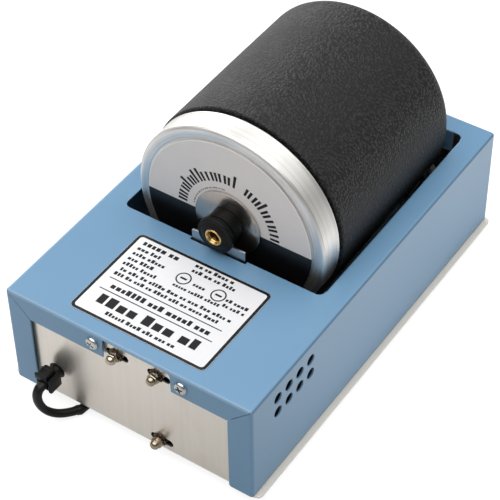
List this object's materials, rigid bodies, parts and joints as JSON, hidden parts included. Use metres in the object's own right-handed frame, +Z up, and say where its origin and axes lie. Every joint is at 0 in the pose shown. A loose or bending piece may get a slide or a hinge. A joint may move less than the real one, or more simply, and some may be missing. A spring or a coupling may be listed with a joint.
{
  "type": "rotary rock tumbler",
  "caption": "Rotary rock tumbler: sheet-metal housing with a belt-driven shaft and an idler shaft that turn a lidded rubber barrel lying in its open top.",
  "frame": {"origin": "on the ground, at the centre of the housing's footprint", "axes": "+Z up, +Y from the motor end to the rear, along the barrel's axis, +X to the right seen from the motor end"},
  "size_m": [0.152, 0.2672, 0.141],
  "materials": {
    "blue_paint": "semi-gloss blue baked paint",
    "bare_sheet": "bare galvanised sheet with fine vertical brushing",
    "zinc": "zinc plated",
    "steel": "ground steel",
    "nickel": "bright nickel",
    "aluminium": "spun and polished",
    "brass": "turned",
    "copper": "varnished and taped winding",
    "rubber": "matte with a leather-like grain",
    "black_plastic": "satin black",
    "nylon": "natural nylon",
    "label_white": "printed film"
  },
  "bodies": {
    "base": {"cover": "blue_paint", "base_pan": "bare_sheet", "roller_frame": "zinc", "stator_stack": "zinc", "front_bracket": "zinc", "rear_bracket": "zinc", "motor_stud_1": "zinc", "motor_stud_2": "zinc", "motor_stud_3": "zinc", "motor_spacer_1": "zinc", "motor_spacer_2": "zinc", "motor_spacer_3": "zinc", "toothed_washer_1": "zinc", "toothed_washer_2": "zinc", "toothed_washer_3": "zinc", "cover_screw_1": "nickel", "cover_screw_2": "nickel", "cover_screw_3": "nickel", "cover_screw_4": "nickel", "acorn_nut_1": "nickel", "acorn_nut_2": "nickel", "acorn_nut_3": "nickel", "plug_blade_1": "brass", "plug_blade_2": "brass", "field_coil": "copper", "foot_1": "rubber", "foot_2": "rubber", "foot_3": "rubber", "foot_4": "rubber", "drive_belt": "rubber", "strain_relief": "black_plastic", "power_cord": "black_plastic", "plug_body": "black_plastic", "shaft_bushing_1": "nylon", "shaft_bushing_2": "nylon", "shaft_bushing_3": "nylon", "shaft_bushing_4": "nylon", "rating_label": "label_white"},
    "motor_rotor": {"motor_shaft": "steel", "rotor": "zinc", "cooling_fan": "black_plastic", "motor_pulley": "aluminium"},
    "drive_shaft": {"drive_shaft": "steel", "driven_pulley": "black_plastic", "drive_clip_front": "steel", "drive_clip_rear": "steel"},
    "idler_shaft": {"idler_shaft": "steel", "idler_clip_front": "steel", "idler_clip_rear": "steel"},
    "barrel_carrier": {"barrel_seal": "rubber"},
    "barrel": {"tumbling_barrel": "rubber"},
    "inner_lid": {"inner_lid": "aluminium", "lid_stud": "zinc"},
    "outer_lid": {"outer_lid": "aluminium", "lid_label": "label_white", "hub_washer": "aluminium"},
    "knob_thread": {"knob_insert": "brass"},
    "knob": {"knob": "black_plastic"}
  },
  "joints": [
    {"name": "barrel_lift", "type": "slide", "parent": "base", "child": "barrel_carrier", "axis": [0, 0, 1], "range_m": [0, 0.16]},
    {"name": "barrel_spin", "type": "hinge", "parent": "barrel_carrier", "child": "barrel", "pos_m": [0, 0, 0.0839], "axis": [0, 1, 0], "continuous": true},
    {"name": "inner_lid_slide", "type": "slide", "parent": "barrel", "child": "inner_lid", "axis": [0, -1, 0], "range_m": [0, 0.016]},
    {"name": "outer_lid_slide", "type": "slide", "parent": "inner_lid", "child": "outer_lid", "axis": [0, -1, 0], "range_m": [0, 0.012]},
    {"name": "knob_travel", "type": "slide", "parent": "outer_lid", "child": "knob_thread", "axis": [0, -1, 0], "range_m": [0, 0.00762]},
    {"name": "knob_turn", "type": "hinge", "parent": "knob_thread", "child": "knob", "pos_m": [0, 0, 0.0839], "axis": [0, -1, 0], "range_deg": [0, 2160]},
    {"name": "drive_spin", "type": "hinge", "parent": "base", "child": "drive_shaft", "pos_m": [-0.038, 0, 0.03565], "axis": [0, 1, 0], "continuous": true},
    {"name": "idler_spin", "type": "hinge", "parent": "base", "child": "idler_shaft", "pos_m": [0.038, 0, 0.03565], "axis": [0, 1, 0], "continuous": true},
    {"name": "rotor_spin", "type": "hinge", "parent": "base", "child": "motor_rotor", "pos_m": [0.017, 0, 0.0372], "axis": [0, 1, 0], "continuous": true}
  ],
  "couplings": [
    {"joint": "inner_lid_slide", "follows": "barrel_lift", "ratio": 0.1},
    {"joint": "outer_lid_slide", "follows": "barrel_lift", "ratio": 0.075},
    {"joint": "knob_travel", "follows": "knob_turn", "m_per_rad": 0.00020213},
    {"joint": "drive_spin", "follows": "barrel_spin", "ratio": -14.396},
    {"joint": "idler_spin", "follows": "barrel_spin", "ratio": -14.396},
    {"joint": "rotor_spin", "follows": "barrel_spin", "ratio": -35.989}
  ]
}
